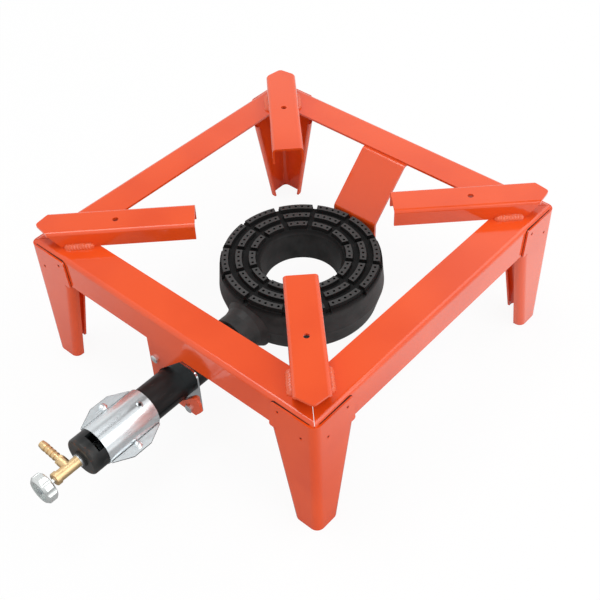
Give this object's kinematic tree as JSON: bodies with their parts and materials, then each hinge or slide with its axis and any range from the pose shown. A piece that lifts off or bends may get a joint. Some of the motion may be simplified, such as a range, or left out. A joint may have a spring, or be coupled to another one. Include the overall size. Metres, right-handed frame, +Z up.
{
  "type": "gas stool burner",
  "caption": "Low square gas burner stool with a cast ring burner, pointed pot supports, a venturi tube with a sliding air shutter, and a brass tap with a hose tail.",
  "frame": {"origin": "on the ground under the middle of the whole object's bounding box, on the venturi's vertical plane of symmetry", "axes": "+Z up, -Y towards the tap and the user, +X to the right as the user faces the stove"},
  "size_m": [0.405, 0.5764, 0.186],
  "materials": {
    "stand_paint": "gloss orange-red enamel on folded steel sheet",
    "burner_iron": "satin black stove paint on cast iron",
    "tube_iron": "satin black stove paint, rust showing at the mouth",
    "zinc_sheet": "bright zinc plate on thin sheet",
    "zinc_fixing": "bright zinc plate",
    "brass": "turned brass",
    "spindle_steel": "turned steel",
    "knob_metal": "bright die-cast metal"
  },
  "bodies": {
    "stand": {"rail_front": "stand_paint", "rail_rear": "stand_paint", "rail_left": "stand_paint", "rail_right": "stand_paint", "leg_front_left": "stand_paint", "leg_front_right": "stand_paint", "leg_rear_left": "stand_paint", "leg_rear_right": "stand_paint", "support_front_left": "stand_paint", "support_front_right": "stand_paint", "support_rear_left": "stand_paint", "support_rear_right": "stand_paint", "weld_beads": "stand_paint", "rear_strap": "stand_paint", "venturi_tab": "stand_paint", "burner": "burner_iron", "venturi": "tube_iron", "keeper_plate": "zinc_sheet", "strap_bolt": "zinc_fixing", "strap_washer": "zinc_fixing", "keeper_bolts": "zinc_fixing", "keeper_nuts": "zinc_fixing", "tap_washer": "zinc_fixing", "jet": "brass", "tap_body": "brass", "hose_tail": "brass", "gland_nut": "brass"},
    "air_shutter": {"shutter_upper": "zinc_sheet", "shutter_lower": "zinc_sheet", "shutter_bolts": "zinc_fixing", "shutter_nuts": "zinc_fixing"},
    "tap_knob": {"spindle": "spindle_steel", "knob": "knob_metal", "knob_screw": "spindle_steel"}
  },
  "joints": [
    {"name": "shutter_slide", "type": "slide", "parent": "stand", "child": "air_shutter", "axis": [0, 1, 0], "range_m": [-0.009, 0.034]},
    {"name": "knob_turn", "type": "hinge", "parent": "stand", "child": "tap_knob", "pos_m": [0, -0.28025, 0.0732], "axis": [0, -1, 0], "range_deg": [0, 720]}
  ]
}
